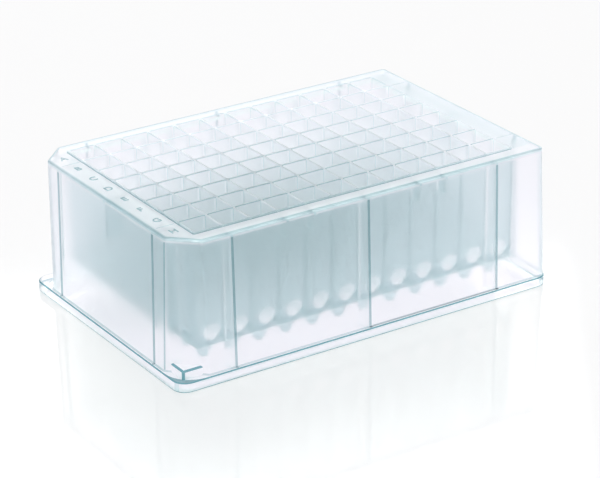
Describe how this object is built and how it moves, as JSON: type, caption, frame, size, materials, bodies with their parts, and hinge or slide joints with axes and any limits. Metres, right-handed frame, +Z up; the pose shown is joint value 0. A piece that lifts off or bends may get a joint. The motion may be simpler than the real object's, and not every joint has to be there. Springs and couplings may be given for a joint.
{
  "type": "well plate",
  "caption": "Deep-well plate in clear-frosted plastic: a grid of square wells with conical bottoms, hung from a deck inside a skirt with a standing flange and two cut corners.",
  "frame": {"origin": "centre of the footprint, on the surface that the flange stands on", "axes": "+X along the rows of wells from column 1 to column 12, +Y towards row A, +Z up out of the mouths of the wells"},
  "size_m": [0.1278, 0.0854, 0.044],
  "materials": {
    "well_plate": "natural polypropylene, translucent, satin"
  },
  "bodies": {
    "root": {"well_plate": "well_plate"}
  },
  "joints": []
}
